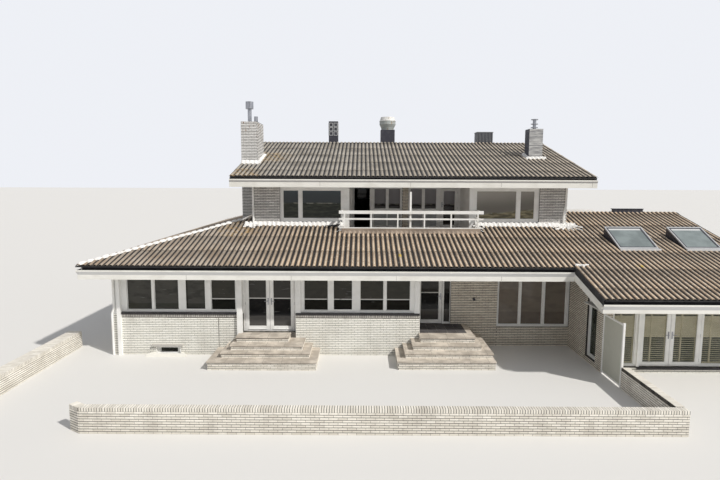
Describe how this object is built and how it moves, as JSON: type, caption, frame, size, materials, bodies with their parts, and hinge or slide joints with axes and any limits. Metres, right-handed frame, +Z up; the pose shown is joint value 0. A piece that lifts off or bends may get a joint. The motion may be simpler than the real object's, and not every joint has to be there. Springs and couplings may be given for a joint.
{
  "type": "brick apartment house",
  "caption": "White brick apartment house with mirrored upper flats on a balcony, low corrugated roofs, a lower wing and a walled terrace.",
  "frame": {"origin": "on the ground, in the middle of the footprint of the front wall between the two flights of steps", "axes": "+Z up, +X to the right along the front, the front looks towards -Y"},
  "size_m": [23.8, 23.7, 9.2],
  "materials": {
    "white_brick": "white-painted brickwork with darker joints",
    "stone": "dark stone ledge",
    "step_stone": "pale stone treads",
    "white_paint": "white-painted timber",
    "boarding": "painted boarding",
    "glass": "dark window glass",
    "concrete": "plain concrete",
    "roof_sheet": "weathered corrugated fibre-cement sheets",
    "roof_deck": "rafters and boarding under the sheets",
    "gutter": "white-painted fascia and gutter",
    "steel": "weathered steel",
    "clad": "light grey cladding",
    "dark_metal": "dark painted sheet",
    "rail": "white-painted steel",
    "screen": "pale panel in a white frame"
  },
  "bodies": {
    "house": {"back_walls": "white_brick", "balcony_deck": "boarding", "balcony_rails": "rail", "balcony_walls": "boarding", "door_frames": "white_paint", "downpipes": "rail", "drum_cowl": "steel", "end_walls": "white_brick", "flues": "steel", "front_plinth": "white_brick", "front_posts": "white_paint", "front_walls": "white_brick", "gable_walls": "white_brick", "head_beams": "white_brick", "inner_columns": "concrete", "left_chimney": "white_brick", "loggia_back_wall": "white_brick", "loggia_doors": "white_paint", "loggia_screens": "white_paint", "loggia_side_walls": "white_paint", "lower_floors": "concrete", "lower_glass": "glass", "lower_gutters": "gutter", "lower_roof_back": "roof_deck", "lower_roof_front": "roof_deck", "lower_roof_left": "roof_deck", "lower_sheets": "roof_sheet", "lower_window_frames": "white_paint", "porch_side_walls": "white_brick", "right_chimney": "clad", "right_wall": "white_brick", "roof_vents": "dark_metal", "skylight_glass": "glass", "skylight_kerbs": "dark_metal", "soffits": "boarding", "step_bricks": "white_brick", "step_treads": "step_stone", "terrace_front_wall": "white_brick", "terrace_side_walls": "white_brick", "upper_back_wall": "white_brick", "upper_floor": "concrete", "upper_front_wall": "white_brick", "upper_glass": "glass", "upper_gutters": "gutter", "upper_roof_back": "roof_deck", "upper_roof_front": "roof_deck", "upper_sheets": "roof_sheet", "upper_window_frames": "white_paint", "verge_boards": "gutter", "wind_screen": "screen", "window_sills": "stone", "wing_roof_back": "roof_deck", "wing_roof_front": "roof_deck", "wing_sheets": "roof_sheet"},
    "terrace_door_left": {"terrace_door_left": "white_paint"},
    "terrace_door_right": {"terrace_door_right": "white_paint"},
    "entrance_door": {"entrance_door": "white_paint"},
    "wing_door_left": {"wing_door_left": "white_paint"},
    "wing_door_right": {"wing_door_right": "white_paint"}
  },
  "joints": [
    {"name": "terrace_door_left_hinge", "type": "hinge", "parent": "house", "child": "terrace_door_left", "pos_m": [-3.884, 0.05, 0.8], "axis": [0, 0, 1], "range_deg": [-90, 0]},
    {"name": "terrace_door_right_hinge", "type": "hinge", "parent": "house", "child": "terrace_door_right", "pos_m": [-2.196, 0.05, 0.8], "axis": [0, 0, 1], "range_deg": [0, 90]},
    {"name": "entrance_door_hinge", "type": "hinge", "parent": "house", "child": "entrance_door", "pos_m": [2.166, 1.15, 0.8], "axis": [0, 0, 1], "range_deg": [0, 90]},
    {"name": "wing_door_left_hinge", "type": "hinge", "parent": "house", "child": "wing_door_left", "pos_m": [8.876, -1.62, 0.2], "axis": [0, 0, 1], "range_deg": [-90, 0]},
    {"name": "wing_door_right_hinge", "type": "hinge", "parent": "house", "child": "wing_door_right", "pos_m": [10.774, -1.62, 0.2], "axis": [0, 0, 1], "range_deg": [0, 90]}
  ]
}
